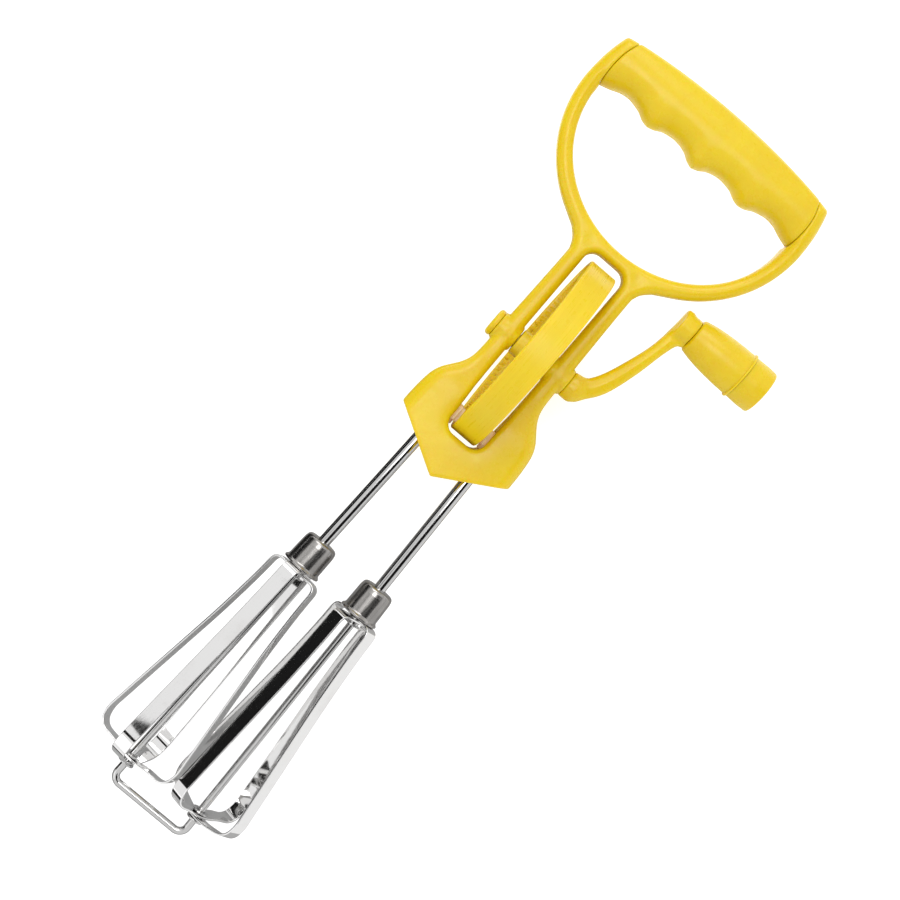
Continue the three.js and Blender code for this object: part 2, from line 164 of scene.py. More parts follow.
def evened(outline, step, passes):
    """A closed outline with its points step apart, and its curves evened out."""
    p = np.array([*outline, outline[0]], float)
    along = np.concatenate([[0], np.cumsum(np.linalg.norm(np.diff(p, axis=0), axis=1))])
    at = np.linspace(0, along[-1], int(along[-1] / step), endpoint=False)
    p = np.stack([np.interp(at, along, p[:, 0]), np.interp(at, along, p[:, 1])], 1)
    for _ in range(passes):
        p = (np.roll(p, 1, 0) + 2 * p + np.roll(p, -1, 0)) / 4
    return p


def arc(centre, radii, start, end, steps):
    """Points of an ellipse's arc, with its angles in degrees."""
    angles = np.radians(np.linspace(start, end, steps + 1))
    return [(centre[0] + radii[0] * math.cos(a), centre[1] + radii[1] * math.sin(a)) for a in angles]


def mirrored(half):
    """The right half of an outline, from its bottom centre to its top centre, with its mirror image."""
    return [*half, *[(-x, y) for x, y in reversed(half) if abs(x) > 1e-6]]


def fillet(points, radius, steps=5, closed=False):
    """A path whose corners are round. A point may carry a radius of its own as a third number."""
    path = []
    for i, (x, y, *own) in enumerate(points):
        here = np.array([x, y], float)
        r = own[0] if own else radius
        ends = not closed and i in (0, len(points) - 1)
        before = np.array(points[i - 1][:2], float) - here
        after = np.array(points[(i + 1) % len(points)][:2], float) - here
        room = min(np.linalg.norm(before), np.linalg.norm(after))
        if ends or r == 0 or room == 0:
            path.append(here)
            continue
        u, v = unit(before), unit(after)
        half = math.acos(np.clip(u @ v, -1, 1)) / 2
        if half > math.pi / 2 - 0.02:
            path.append(here)
            continue
        reach = min(r / math.tan(half), 0.48 * room)
        centre = here + unit(u + v) * reach / math.cos(half)
        first, last = here + u * reach - centre, here + v * reach - centre
        a = math.atan2(first[1], first[0])
        turn = (math.atan2(last[1], last[0]) - a + math.pi) % (2 * math.pi) - math.pi
        size = np.linalg.norm(first)
        for angle in (a + turn * share for share in np.linspace(0, 1, steps)):
            path.append(centre + size * np.array([math.cos(angle), math.sin(angle)]))
    return [tuple(p) for p in path]


# ---- Meshes --------------------------------------------------------------------------------------


def new_object(name, data):
    obj = bpy.data.objects.new(name, data)
    bpy.context.scene.collection.objects.link(obj)
    return obj


def in_scene(place):
    """A placement in the tool's frame, in millimetres, as one in the scene's metres."""
    scaled = place.copy()
    scaled.translation *= MM
    return TOOL @ scaled


def piece(name, shape, body, look, place=Matrix.Identity(4), weighted=True):
    """A finished mesh from (vertices in millimetres, faces), in the tool's frame or one placed in it."""
    vertices, faces = shape
    mesh = bpy.data.meshes.new(name)
    local = np.array(vertices, float) * MM
    mesh.from_pydata(local.tolist(), [], faces)
    mesh.attributes.new("local", "FLOAT_VECTOR", "POINT").data.foreach_set("vector", local.ravel())
    mesh.transform(in_scene(place))
    bm = bmesh.new()
    bm.from_mesh(mesh)
    bmesh.ops.remove_doubles(bm, verts=bm.verts, dist=1e-7)
    bmesh.ops.recalc_face_normals(bm, faces=bm.faces)
    bm.to_mesh(mesh)
    bm.free()
    mesh.shade_smooth()
    obj = new_object(name, mesh)
    obj.data.materials.append(look)
    if weighted:
        obj.modifiers.new("flat_faces_stay_flat", "WEIGHTED_NORMAL").weight = 60
    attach(obj, body)
    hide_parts(name.removesuffix("_surface"))
    return obj


def skin(rows, loop=False):
    """Faces between rows of points, each row a closed ring. With loop, the last row joins the first."""
    rows = np.array(rows, float)
    count, sides = rows.shape[:2]
    index = np.arange(count * sides).reshape(count, sides)
    a = index if loop else index[:-1]
    b = np.roll(index, -1, 0) if loop else index[1:]
    faces = np.stack([a, np.roll(a, -1, 1), np.roll(b, -1, 1), b], -1).reshape(-1, 4)
    return rows.reshape(-1, 3), faces.tolist()


def turned(profile, axis, sides=96, loop=False):
    """A profile of (radius, height) points turned about the X or Y axis."""
    t = np.arange(sides) * 2 * math.pi / sides
    rows = []
    for r, h in profile:
        u, v, along = r * np.cos(t), r * np.sin(t), np.full(sides, h)
        rows.append(np.stack((along, u, v) if axis == "X" else (u, along, -v), -1))
    return skin(rows, loop)


# ---- Moulded shapes, as fields of distances ------------------------------------------------------


def outline_distance(x, y, outline):
    """The distance to a closed outline, negative inside it."""
    best = np.full(np.broadcast(x, y).shape, np.inf)
    inside = np.zeros(best.shape, bool)
    for (ax, ay), (bx, by) in zip(outline, [*outline[1:], outline[0]]):
        dx, dy = bx - ax, by - ay
        length = dx * dx + dy * dy
        if length == 0:
            continue
        t = np.clip(((x - ax) * dx + (y - ay) * dy) / length, 0, 1)
        best = np.minimum(best, (x - ax - t * dx) ** 2 + (y - ay - t * dy) ** 2)
        if ay != by:
            inside ^= ((ay > y) != (by > y)) & (x < dx * (y - ay) / dy + ax)
    return np.where(inside, -np.sqrt(best), np.sqrt(best))


def moulded(flat, across, edge):
    """The meeting of two faces, given as distances, with a round edge between them."""
    a, b = flat + edge, across + edge
    return np.hypot(np.maximum(a, 0), np.maximum(b, 0)) + np.minimum(np.maximum(a, b), 0) - edge


def joined(a, b, soft):
    """Two shapes joined with a soft inner corner."""
    h = np.clip(0.5 + 0.5 * (b - a) / soft, 0, 1)
    return b * (1 - h) + a * h - soft * h * (1 - h)


def eased(y, table, width=2.5):
    """A value for each height from a table, without kinks."""
    heights, values = zip(*table)
    shifts = np.linspace(-width, width, 9)
    return sum(np.interp(y + s, heights, values) for s in shifts) / len(shifts)


def rod_x(x, y, z, radius, start, end, height=0.0, edge=0.05):
    """A rod along X with its axis at a height, and with round edges."""
    radial = np.hypot(y - height, z) - radius
    return moulded(radial, np.abs(x - (start + end) / 2) - (end - start) / 2, edge)


def sample(field, at):
    """The field's value between its grid points."""
    low = np.clip(np.floor(at).astype(int), 0, np.array(field.shape) - 2)
    part = at - low
    total = 0
    for corner in np.ndindex(2, 2, 2):
        share = np.prod(np.where(corner, part, 1 - part), axis=1)
        total = total + share * field[tuple((low + corner).T)]
    return total


def surface(make_field, low, high, step):
    """The zero surface of a field as quads: one vertex in each grid cell that the surface crosses."""
    axes = [np.arange(a, b + step, step) for a, b in zip(low, high)]
    x, y, z = np.meshgrid(*axes, indexing="ij", sparse=True)
    field = make_field(x, y, z)
    inside = field < 0
    corners = list(np.ndindex(2, 2, 2))
    n = np.array(field.shape) - 1
    count = sum(inside[i : i + n[0], j : j + n[1], k : k + n[2]].astype(np.int8) for i, j, k in corners)
    cells = np.argwhere((count > 0) & (count < 8))
    index = np.full(count.shape, -1)
    index[tuple(cells.T)] = np.arange(len(cells))
    total, hits = np.zeros((len(cells), 3)), np.zeros(len(cells))
    for a in corners:
        for axis in range(3):
            if a[axis]:
                continue
            b = tuple(1 if i == axis else v for i, v in enumerate(a))
            fa, fb = field[tuple((cells + a).T)], field[tuple((cells + b).T)]
            cross = (fa < 0) != (fb < 0)
            t = np.where(cross, fa / np.where(fa == fb, 1, fa - fb), 0)
            point = np.array(a, float) + t[:, None] * (np.arange(3) == axis)
            total += point * cross[:, None]
            hits += cross
    at = cells + total / hits[:, None]
    for _ in range(2):
        slope = np.stack([sample(field, at + d) - sample(field, at - d) for d in 0.5 * np.eye(3)], 1)
        steep = np.maximum((slope**2).sum(1), 1e-9)
        move = -(sample(field, at) / steep)[:, None] * slope
        at = np.clip(at + np.clip(move, -0.3, 0.3), cells, cells + 1)
    quads = []
    for axis in range(3):
        b, c = np.eye(3, dtype=int)[(axis + 1) % 3], np.eye(3, dtype=int)[(axis + 2) % 3]
        ahead = np.roll(inside, -1, axis)
        edge = inside != ahead
        for i in range(3):
            side = np.moveaxis(edge, i, 0)
            side[-1] = False
            if i != axis:
                side[0] = False
        p = np.argwhere(edge)
        ring = np.stack([index[tuple((p - o).T)] for o in (0 * b, b, b + c, c)], 1)
        flip = inside[tuple(p.T)]
        quads.append(np.where(flip[:, None], ring, ring[:, ::-1]))
    return np.array(low) + at * step, np.vstack(quads).tolist()


# ---- Frame ---------------------------------------------------------------------------------------


def crown_height(x):
    return GRIP["top"] - x * x / (2 * GRIP["crown"])


def frame_outline():
    """The frame's outer outline, carried straight down past the housing's edge and across the grip."""
    half_width = HOUSING["half_width"]
    neck = [
        (half_width, HOUSING["corner_y"]), (23.7, -34), (22.9, -27.8), (21.4, -24), (19.3, -21.0),
        (17.1, -17.9), (15.6, -14.5), (15.0, -10), (14.8, 0), (14.4, 17), (14.1, 34.5), (14.5, 37.5),
        (15.9, 40.3), (18.6, 43),
    ]
    ring = arc((0, RING["outer_y"]), RING["outer"], -60, 0, 36)
    cheek = smooth([ring[-1], (48.6, 89.5), (48.1, 94.5), (47.2, 99.3), (46.3, 102.7)])
    corner = [(45.8, 103.6), (45.0, 103.98), (41.5, crown_height(41.5))]
    below = [(0, -80), (half_width + 0.6, -80)]
    return mirrored([*below, *smooth(neck), *ring[1:], *cheek[1:], *corner, (0, GRIP["top"])])


def housing_share(y):
    """0 at the height of the legs and 1 at the housing's, with a slope between them."""
    return np.clip((-22 - y) / 10, 0, 1)


def slot_distance(x, y):
    """The slot between the legs, a rectangle with round corners."""
    middle, corner = (SLOT["top"] + SLOT["bottom"]) / 2, SLOT["corner"]
    half_height = (SLOT["top"] - SLOT["bottom"]) / 2
    half_width = LEG_INNER - 0.6 * housing_share(y)
    return moulded(np.abs(x) - half_width, np.abs(y - middle) - half_height, corner)


def crossbar_distance(y):
    """How far a height is from the crossbar, negative inside it."""
    half_height = (CROSSBAR["top"] - CROSSBAR["bottom"]) / 2
    return np.abs(y - CROSSBAR["bottom"] - half_height) - half_height


def beater_pockets(x, y, z, side):
    """The pinion's pocket, the tube's bore below and above it and the guard wire's blind bore."""
    dx, dy = x - side * BEATER_X, y + PITCH_RADIUS
    along = dy * math.cos(SPLAY) - side * dx * math.sin(SPLAY)
    out = dx * math.cos(SPLAY) + side * dy * math.sin(SPLAY)
    radial = np.hypot(out, z)
    field = np.inf
    for radius, start, end in BEATER_BORES:
        bore = np.maximum(radial - radius, np.abs(along - (start + end) / 2) - (end - start) / 2)
        field = np.minimum(field, bore)
    return np.maximum(field, np.abs(z) - POCKET_HALF_DEPTH)


def frame_field(x, y, z):
    reach, inside_grip = RING["inner"][0], 87
    hole = [*arc((0, RING["y"]), RING["inner"], -180, 0, 72), (reach, inside_grip), (-reach, inside_grip)]
    flat = np.maximum(outline_distance(x, y, frame_outline()), -outline_distance(x, y, hole))
    slot = slot_distance(x, y)
    # The housing's faces are crowned, and dip towards the slot.
    crown = 0.7 * (x / HOUSING["half_width"]) ** 2
    dip = 0.5 * np.exp(-((np.maximum(slot, 0) / 3.0) ** 2))
    depth = eased(y, FRAME_DEPTH) - housing_share(y) * (crown + dip)
    sinks = sum(np.exp(-(((x - sx) ** 2 + (y - sy) ** 2) / 6)) for sx, sy in SINKS)
    shell = moulded(flat, np.abs(z) - depth + 0.3 * sinks, eased(y, FRAME_EDGE))
    shell = moulded(shell, -slot, eased(y, SLOT_EDGE))
    for side in (1, -1):
        for radius, start, end in AXLE_BOSSES:
            shell = joined(shell, rod_x(side * x, y, z, radius, start, end, edge=0.35), 0.7)
    # The V-shaped lower edge, the hollow behind it and the place of the grip.
    rise = (HOUSING["corner_y"] - HOUSING["tip_y"]) / HOUSING["half_width"]
    v_cut = (HOUSING["tip_y"] + rise * np.abs(x) - y) / math.hypot(1, rise)
    shell = moulded(shell, v_cut, 0.45)
    mouth = outline_distance(x, y, mirrored([(0, -90), (21.6, -90), (21.6, -39.6), (16, -42), (0, -44.6)]))
    hollow = moulded(mouth, np.abs(z) - (HOUSING["half_depth"] - HOUSING["wall"]), 1.2)
    grip_place = np.maximum(np.abs(x) - eased(y, GRIP_END) - SEAM["half_gap"], GRIP["bottom"] - y)
    shell = moulded(np.maximum(shell, -hollow), -grip_place, SEAM["edge"])
    bar = np.maximum(np.abs(x) - CROSSBAR["reach"], crossbar_distance(y))
    shell = np.minimum(shell, np.maximum(bar, np.abs(z) - CROSSBAR["half_depth"]))
    for side in (1, -1):
        shell = np.maximum(shell, -beater_pockets(x, y, z, side))
    return np.maximum(shell, AXLE_BORE - np.hypot(y, z) + 0 * x)


# ---- Grip ----------------------------------------------------------------------------------------


def grip_field(side):
    """Half of the grip, a shell over the crossbar: in front for side 1 and behind for side -1."""
    crown = [(x, crown_height(x)) for x in range(50, -1, -2)]
    outline = mirrored([*smooth(SCALLOPS), *crown])
    gap = 0.3

    def field(x, y, z):
        flat = outline_distance(x, y, outline)
        # The face rolls in towards the scallops and follows them.
        scallop = np.interp(np.abs(x), *zip(*SCALLOPS)) - SCALLOP_LEVEL
        depth = eased(y - scallop * np.clip((97 - y) / 9, 0, 1), GRIP_DEPTH, 1.0)
        body = moulded(flat, np.abs(z) - depth, GRIP["edge"])
        body = moulded(body, np.abs(x) - eased(y, GRIP_END) + SEAM["half_gap"], SEAM["edge"])
        # Room for the crossbar, and a wider hollow between the grip's two closed ends.
        bar = np.maximum(crossbar_distance(y), np.abs(z) - CROSSBAR["half_depth"]) - gap
        reach, low, high = 39, CROSSBAR["bottom"] - gap, 102
        room = np.maximum(np.abs(x) - reach, np.abs(y - (low + high) / 2) - (high - low) / 2)
        room = np.maximum(room, np.abs(z) - GRIP["hollow"])
        body = np.maximum(body, -np.minimum(bar, room))
        return moulded(body, SEAM["half_gap"] - side * z, 0.12)

    return field


# ---- Wheel, crank and knob -----------------------------------------------------------------------


def tooth_half(height):
    """Half a face tooth's thickness at a height from the wheel's middle."""
    return TOOTH_THICKNESS / 2 - (height - PITCH_PLANE) * math.tan(FLANK)


def drive_wheel():
    """The wheel's section goes round once for every column of points; the toothed band rises at a tooth."""
    root, tip, inner, rim = 3.4, 5.2, 29.8, 36.2
    hub = [(0.0, 7.1), (4.9, 7.1, 0.4), (5.3, 1.9, 1.4)]
    web = [(27.6, 1.9, 1.2), (28.6, 1.5, 0.8)]
    # Columns of one pitch: where each is along the pitch circle, and how far up the tooth.
    foot, head = tooth_half(root), tooth_half(tip)
    soft = 0.16
    columns = [(0, 1), (head - soft, 1), (head + 0.02, 0.93), (head + soft, 0.78), (foot - soft, 0.2),
               (foot + 0.02, 0.05), (foot + soft, 0)]
    pitch = 2 * math.pi * PITCH_RADIUS / WHEEL_TEETH
    columns = [(-s, k) for s, k in reversed(columns[1:])] + columns + [(pitch / 2, 0)]
    centres = (np.arange(WHEEL_TEETH) + 0.5) * 2 * math.pi / WHEEL_TEETH - math.pi / 2
    offset = np.tile([s for s, _ in columns], WHEEL_TEETH)
    rise = np.tile([k for _, k in columns], WHEEL_TEETH)
    centre = np.repeat(centres, len(columns))
    # One side from the hub to the middle of the rim: (radius, height at a gap, height at a tooth).
    plain = [(r, h, h) for r, h in fillet([*hub, *web, (inner, 1.5, 0)], 0.5)]
    band = [
        (inner, root - 0.1, tip - 0.35), (inner + 0.05, root, tip - 0.12), (inner + 0.2, root, tip - 0.02),
        (inner + 0.5, root, tip), (rim - 0.35, root, tip), (rim - 0.1, root + 0.05, tip),
        (rim, root + 0.3, tip + 0.02),
    ]
    face = [(rim, 5.3, 0), (rim + 0.05, 5.4, 0.1), (WHEEL_RADIUS, 5.4, 0.7), (WHEEL_RADIUS, 0, 0)]
    side = [*plain, *band, *[(r, h, h) for r, h in fillet(face, 0.3)]]
    rows = []
    for sign in (1, -1):
        for r, gap, tooth in side if sign > 0 else reversed(side):
            angle = centre + offset / np.clip(r, inner, rim)
            angle = np.where(np.isclose(offset, pitch / 2), centre + math.pi / WHEEL_TEETH, angle)
            x = sign * (gap + (tooth - gap) * rise)
            rows.append(np.stack([x, r * np.cos(angle), r * np.sin(angle)], -1))
    return skin(rows)


def crank_field(x, y, z):
    inner_edge = smooth([
        (16.5, 4.5), (20, 5.7), (23.4, 10.6), (26.8, 19), (30.1, 29.5), (31.7, 40.5), (32.3, 46.8),
    ])
    outer_edge = smooth([
        (38.4, 36.2), (36.6, 34.4), (34.9, 29.0), (32.4, 17.8), (29.1, 7.3), (25.5, 1.3), (20.7, -3.3),
        (16.5, -4.3),
    ])
    flat = outline_distance(x, y, [*inner_edge, (34, 47), (34, 37), *outer_edge])
    crown = 0.45 * np.clip(-flat / 3, 0, 1) ** 2
    arm = moulded(flat, np.abs(z) - (CRANK_HALF_DEPTH - 0.35 + crown), 1.7)
    hub = rod_x(x, y, z, 4.5, CRANK_FACE, 20.0, edge=0.4)
    dome = np.sqrt(((x - 19) / 0.9) ** 2 + y**2 + z**2) - 4.35
    hub = joined(hub, np.maximum(dome, 17.5 - x), 1.0)
    boss = rod_x(x, y, z, 5.5, 32.4, 38.5, THROW, 0.5)
    body = joined(joined(arm, hub, 2.4), boss, 2.0)
    body = np.maximum(body, CRANK_FACE - x)
    axle = np.maximum(rod_x(x, y, z, AXLE_RADIUS, -15.9, 17), y - AXLE_FLAT)
    body = np.minimum(body, np.minimum(axle, rod_x(x, y, z, 1.7, -17.4, -15)))
    return np.maximum(body, -rod_x(x, y, z, 2.3, 33.6, 40, THROW))


def knob():
    side = [(39.2, 6.6), (43.6, 7.5), (49, 8.15), (55, 8.5), (59.9, 8.6)]
    taper = [(r, x, 0.3) for x, r in smooth(side, 6)]
    profile = [(2.3, 38.6), (6.0, 38.6, 0.5), *taper, (8.62, 60, 0.25), (9.2, 60.1, 0.3), (9.2, 60.9, 0.3),
               (5.3, 60.98), (5.3, 46), (2.3, 46)]
    return turned(fillet(profile, 0.15, closed=True), "X", 128, loop=True)


def knob_cap():
    profile = [(0, 55.5), (3.4, 55.5), (3.4, 56), (4.9, 56), (4.9, 61.05), (8.55, 61.05, 0.12),
               (8.7, 66, 3), (8.5, 70.2, 1.0), (5.5, 70.8, 3), (0, 71)]
    return turned(fillet(profile, 0.15, 8), "X", 128)


def knob_pin():
    profile = [(0, 34), (2, 34), (2, 46.4), (4.2, 46.4), (4.2, 47.8), (3.0, 48.7, 0.8), (0, 48.9)]
    return turned(fillet(profile, 0.25), "X", 48)


def hub_cap():
    face = -CRANK_FACE
    profile = [(0, face), (5.1, face, 0.3), (5.1, -17.5, 0.6), (4.3, -18.1, 0.8), (0, -18.2)]
    return turned(fillet(profile, 0.3, 8), "X", 96)


# ---- Guard wire and beaters ----------------------------------------------------------------------


def guard_wire():
    """A round wire in the tool's X-Y plane: two legs on the beaters' axes and a bar below them."""
    corner = np.array(beater_matrix(1) @ Vector((0, WIRE_BAR, 0)))[:2]
    top = np.array(beater_matrix(1) @ Vector((0, 18.8, 0)))[:2]
    middle = np.array([0, corner[1]])
    half = fillet([tuple(middle), tuple(corner), tuple(top)], WIRE_BEND, 14)
    path = np.array([(-x, y) for x, y in half[:0:-1]] + half)
    along = np.gradient(path, axis=0)
    along /= np.linalg.norm(along, axis=1)[:, None]
    # The two ends are chamfered: their full rings stand back, and smaller ones close them.
    chamfer = 0.35
    full = path.copy()
    full[0] += chamfer * along[0]
    full[-1] -= chamfer * along[-1]
    rows = [(path[0], along[0], 0.0), (path[0], along[0], 0.75)]
    rows += [(p, a, 1.0) for p, a in zip(full, along)]
    rows += [(path[-1], along[-1], 0.75), (path[-1], along[-1], 0.0)]
    t = np.arange(32) * 2 * math.pi / 32
    rings = []
    for p, a, size in rows:
        u, v = WIRE_RADIUS * size * np.cos(t), WIRE_RADIUS * size * np.sin(t)
        rings.append(np.stack([p[0] - a[1] * u, p[1] + a[0] * u, v], -1))
    return skin(rings)


def pinion():
    """A spur pinion: the toothed rows follow a star outline, and the hub's rows are round."""
    half_tip, half_pitch, half_root = 0.25, TOOTH_THICKNESS / 2, 0.875
    tip, root = 7.35, 5.5
    flank = [(-1.28, root), (-half_root, root + 0.08), (-half_pitch - 0.12, PINION_PITCH_RADIUS - 0.45),
             (-half_pitch, PINION_PITCH_RADIUS), (-half_tip - 0.08, tip - 0.18), (-half_tip + 0.1, tip)]
    tooth = [*flank, *[(-s, r) for s, r in reversed(flank[1:])]]
    star = np.tile([r for _, r in tooth], PINION_TEETH)
    angle = np.array([
        i * 2 * math.pi / PINION_TEETH + math.asin(s / r) for i in range(PINION_TEETH) for s, r in tooth
    ])
    rows = [
        (2.5, -4.3), (4.8, -4.3), (5.0, -4.1), (5.0, -2.65), (5.2, -2.6), (star - 0.2, -2.6), (star, -2.4),
        (star, 2.8), (star - 0.2, 3.0), (5.2, 3.0), (5.0, 3.05), (5.0, 3.4), (4.8, 3.6), (2.5, 3.6),
    ]
    rings = [np.stack([r * np.cos(angle), y + 0 * angle, -r * np.sin(angle)], -1) for r, y in rows]
    return skin(rings, loop=True)


def tube():
    profile = [(1.65, 12.4), (1.65, -80.2), (3.1, -80.2), (3.1, -79.6), (2.25, -79.6), (2.25, 12.4)]
    return turned(fillet(profile, 0.15, closed=True), "Y", 48, loop=True)


def ferrule():
    """A drawn steel cup with a round shoulder and a flared lip."""
    profile = [(2.55, -65.0), (4.9, -65.0, 1.6), (5.8, -67.6, 0.8), (5.8, -76.5, 0.2), (7.45, -76.5, 0.3),
               (7.45, -75.8, 0.3), (6.65, -75.0, 1.0), (6.45, -67.0, 1.4), (6.0, -64.5, 2.1),
               (2.55, -64.2, 0.3)]
    return turned(fillet(profile, 0.2, 9, closed=True), "Y", 96, loop=True)


def eyelet():
    profile = [(1.65, -168.3), (3.2, -168.3), (3.2, -167.5), (2.3, -167.5), (2.3, -164.9), (3.2, -164.9),
               (3.2, -164.2), (1.65, -164.2)]
    return turned(fillet(profile, 0.28, closed=True), "Y", 64, loop=True)


def blade_loop(inset):
    """A strip bent into a closed loop in the X-Y plane, shorter by inset at both ends."""
    top, bottom = BLADE["top"] - inset, BLADE["bottom"] + inset
    side = smooth([
        (3.6, bottom), (8.5, bottom + 1), (13.9, -164.6), (16.9, -162.2), (17.9, -157.6), (17.5, -154),
        (16.35, -144), (14.9, -132), (13.4, -119.5), (11.9, -106.5), (10.7, -92.5), (10.2, -84),
    ])
    shoulder = fillet([side[-1], (10.05, top, 2.6), (0, top)], 2.6, 10)
    outer = evened(mirrored([(0, bottom), (1.8, bottom), *side, *shoulder[1:]]), 0.5, 10)
    before, after = outer - np.roll(outer, 1, 0), np.roll(outer, -1, 0) - outer
    before /= np.linalg.norm(before, axis=1)[:, None]
    after /= np.linalg.norm(after, axis=1)[:, None]
    way = before + after
    way /= np.linalg.norm(way, axis=1)[:, None]
    inward = np.stack([-way[:, 1], way[:, 0]], 1) / np.maximum(0.5, (way * before).sum(1))[:, None]
    half, thick = STRIP["width"] / 2, STRIP["thickness"]
    section = fillet([(0, -half), (0, half), (thick, half), (thick, -half)], STRIP["edge"], closed=True)
    rows = [[(*(p + n * d), z) for d, z in section] for p, n in zip(outer, inward)]
    return skin(rows, loop=True)


def punch_holes(obj, side):
    """Cuts the holes of a strip loop for the tube and the guard wire."""
    radius, length = 2.6 * MM, 120 * MM
    cutter = bpy.data.meshes.new("punch")
    bm = bmesh.new()
    bmesh.ops.create_cone(bm, cap_ends=True, segments=48, radius1=radius, radius2=radius, depth=length)
    bm.to_mesh(cutter)
    bm.free()
    punch = new_object("punch", cutter)
    middle = Matrix.Translation((0, (BLADE["top"] + BLADE["bottom"]) / 2 * MM, 0))
    punch.matrix_world = in_scene(beater_matrix(side)) @ middle @ Matrix.Rotation(math.pi / 2, 4, "X")
    holes = obj.modifiers.new("holes", "BOOLEAN")
    holes.operation, holes.solver, holes.object = "DIFFERENCE", "EXACT", punch
    obj.modifiers.move(len(obj.modifiers) - 1, 0)
    with bpy.context.temp_override(object=obj, active_object=obj):
        bpy.ops.object.modifier_apply(modifier="holes")
    bpy.data.objects.remove(punch)
    bpy.data.meshes.remove(cutter)


# ---- Materials -----------------------------------------------------------------------------------


class Look:
    """A new material, with short calls that add its nodes. Patterns lie on the piece's own millimetres."""

    def __init__(self, name, **values):
        self.material = bpy.data.materials.new(name)
        self.material.use_nodes = True
        self.tree = self.material.node_tree
        self.shader = self.tree.nodes["Principled BSDF"]
        for key, value in values.items():
            self.shader.inputs[key.replace("_", " ")].default_value = value
        self.place = self.node("ShaderNodeAttribute", attribute_name="local").outputs["Vector"]

    def put(self, value, socket):
        """Sets a socket to a constant, or links it to another node's output."""
        if isinstance(value, bpy.types.NodeSocket):
            self.tree.links.new(value, socket)
        else:
            socket.default_value = value

    def node(self, kind, inputs=None, **settings):
        made = self.tree.nodes.new(kind)
        for key, value in settings.items():
            setattr(made, key, value)
        for key, value in (inputs or {}).items():
            self.put(value, made.inputs[key])
        return made

    def noise(self, size, stretch=(1, 1, 1), detail=3, rough=0.5):
        """Noise with features of about size millimetres, longer along the axes that stretch names."""
        scale = tuple(1 / (size * MM * s) for s in stretch)
        at = self.node("ShaderNodeMapping", {"Vector": self.place, "Scale": scale})
        return self.node(
            "ShaderNodeTexNoise",
            {"Vector": at.outputs["Vector"], "Scale": 1, "Detail": detail, "Roughness": rough},
        ).outputs["Fac"]

    def between(self, value, low, high, to_low=0.0, to_high=1.0):
        made = self.node(
            "ShaderNodeMapRange",
            {"Value": value, "From Min": low, "From Max": high, "To Min": to_low, "To Max": to_high},
            interpolation_type="SMOOTHSTEP",
        )
        return made.outputs["Result"]

    def maths(self, operation, a, b):
        made = self.node("ShaderNodeMath", operation=operation)
        for socket, value in zip(made.inputs, (a, b)):
            self.put(value, socket)
        return made.outputs[0]

    def mixed(self, share, a, b):
        made = self.node("ShaderNodeMix", data_type="RGBA")
        for number, value in ((0, share), (6, a), (7, b)):
            self.put(value, made.inputs[number])
        return made.outputs[2]

    def bump(self, height, millimetres, normal=None):
        """A bump whose full height is that many millimetres."""
        inputs = {"Height": height, "Distance": millimetres * MM, "Strength": 1.0}
        if normal is not None:
            inputs["Normal"] = normal
        return self.node("ShaderNodeBump", inputs).outputs["Normal"]

    def send(self, **sockets):
        for key, value in sockets.items():
            self.tree.links.new(value, self.shader.inputs[key.replace("_", " ")])
        return self.material


def yellow_plastic(name, streaks=None):
    """Injection-moulded plastic: faint flow mottling, an uneven soft gloss and fine scratches, with a
    painted highlight on its convex edges and painted orange shade in its creases.

    streaks is how far each axis stretches the moulding lines, for a piece that has them.
    """
    look = Look(
        name, IOR=1.46, Subsurface_Weight=0.45, Subsurface_Radius=(1.0, 0.5, 0.1), Subsurface_Scale=0.0026,
    )
    cloud = look.between(look.noise(24, detail=4), 0.32, 0.68)
    flow = look.between(look.noise(6, (1, 5, 1), 4, 0.6), 0.4, 0.75)
    base = look.mixed(cloud, (0.735, 0.548, 0.005, 1), (0.705, 0.505, 0.003, 1))
    base = look.mixed(look.maths("MULTIPLY", flow, 0.3), base, (0.68, 0.455, 0.002, 1))
    edges = look.node("ShaderNodeNewGeometry").outputs["Pointiness"]
    # Convex edges are painted lighter: a painted highlight where the light catches them.
    base = look.mixed(look.between(edges, 0.52, 0.60, 0, 0.4), base, (0.79, 0.60, 0.03, 1))
    # Concave creases are painted a deeper orange: painted shade where the creases lie in shadow.
    base = look.mixed(look.between(edges, 0.40, 0.49, 0.7, 0), base, (0.72, 0.38, 0.003, 1))
    gloss = look.between(look.noise(3, detail=5, rough=0.6), 0.3, 0.7, 0.24, 0.33)
    scuffs = look.between(look.noise(0.5, (1, 30, 1), 2), 0.66, 0.74)
    gloss = look.maths("ADD", gloss, look.maths("MULTIPLY", scuffs, 0.10))
    normal = look.bump(look.noise(1.4, detail=2), 0.004)
    normal = look.bump(look.noise(9, detail=1), 0.03, normal)
    if streaks is not None:
        fine = look.noise(0.45, streaks, 3, 0.65)
        lines = look.between(fine, 0.42, 0.62)
        base = look.mixed(look.maths("MULTIPLY", lines, 0.30), base, (0.80, 0.615, 0.015, 1))
        normal = look.bump(fine, 0.02, normal)
        gloss = look.maths("ADD", gloss, look.maths("MULTIPLY", lines, 0.12))
    return look.send(Base_Color=base, Roughness=gloss, Normal=normal)


